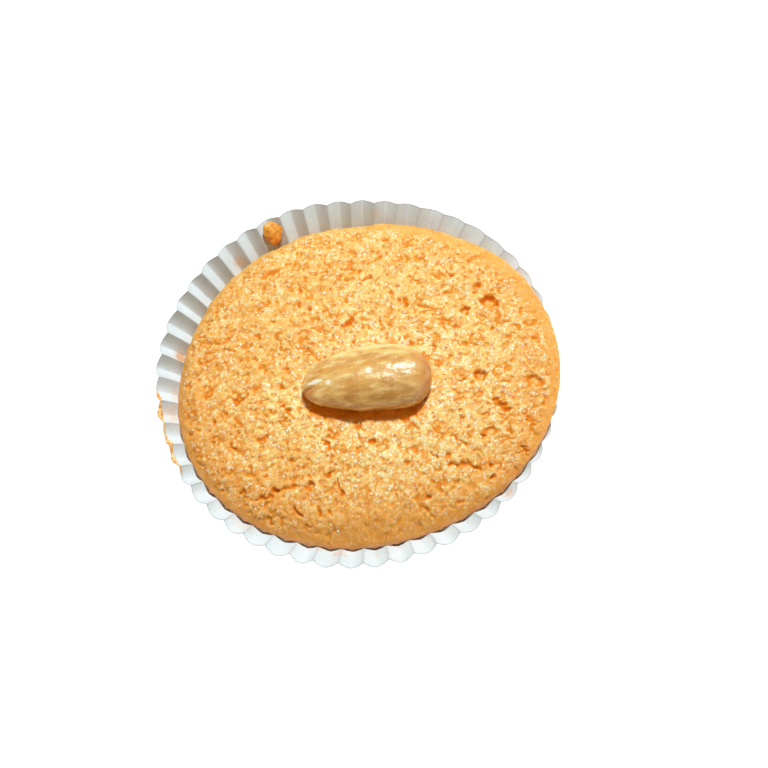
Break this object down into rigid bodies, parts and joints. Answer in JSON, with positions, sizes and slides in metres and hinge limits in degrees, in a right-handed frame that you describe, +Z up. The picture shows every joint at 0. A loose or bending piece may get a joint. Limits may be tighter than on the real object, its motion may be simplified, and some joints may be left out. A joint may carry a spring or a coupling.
{
  "type": "almond cookie",
  "caption": "Domed golden almond cookie with a cracked, sugared crust, baked over the rim of a white fluted paper case, with a blanched almond on top.",
  "frame": {"origin": "centre of the case's flat round base, on the surface it stands on", "axes": "+Z up through the dome; X along the almond, with its tip towards -X; the side seen in the picture faces -Y"},
  "size_m": [0.073, 0.0724, 0.0242],
  "materials": {
    "paper": "satin",
    "crust": "matte",
    "kernel": "satin",
    "browned_dough": "satin"
  },
  "bodies": {
    "root": {"paper_case": "paper", "cookie": "crust", "almond": "kernel", "dough_bead": "browned_dough"}
  },
  "joints": []
}
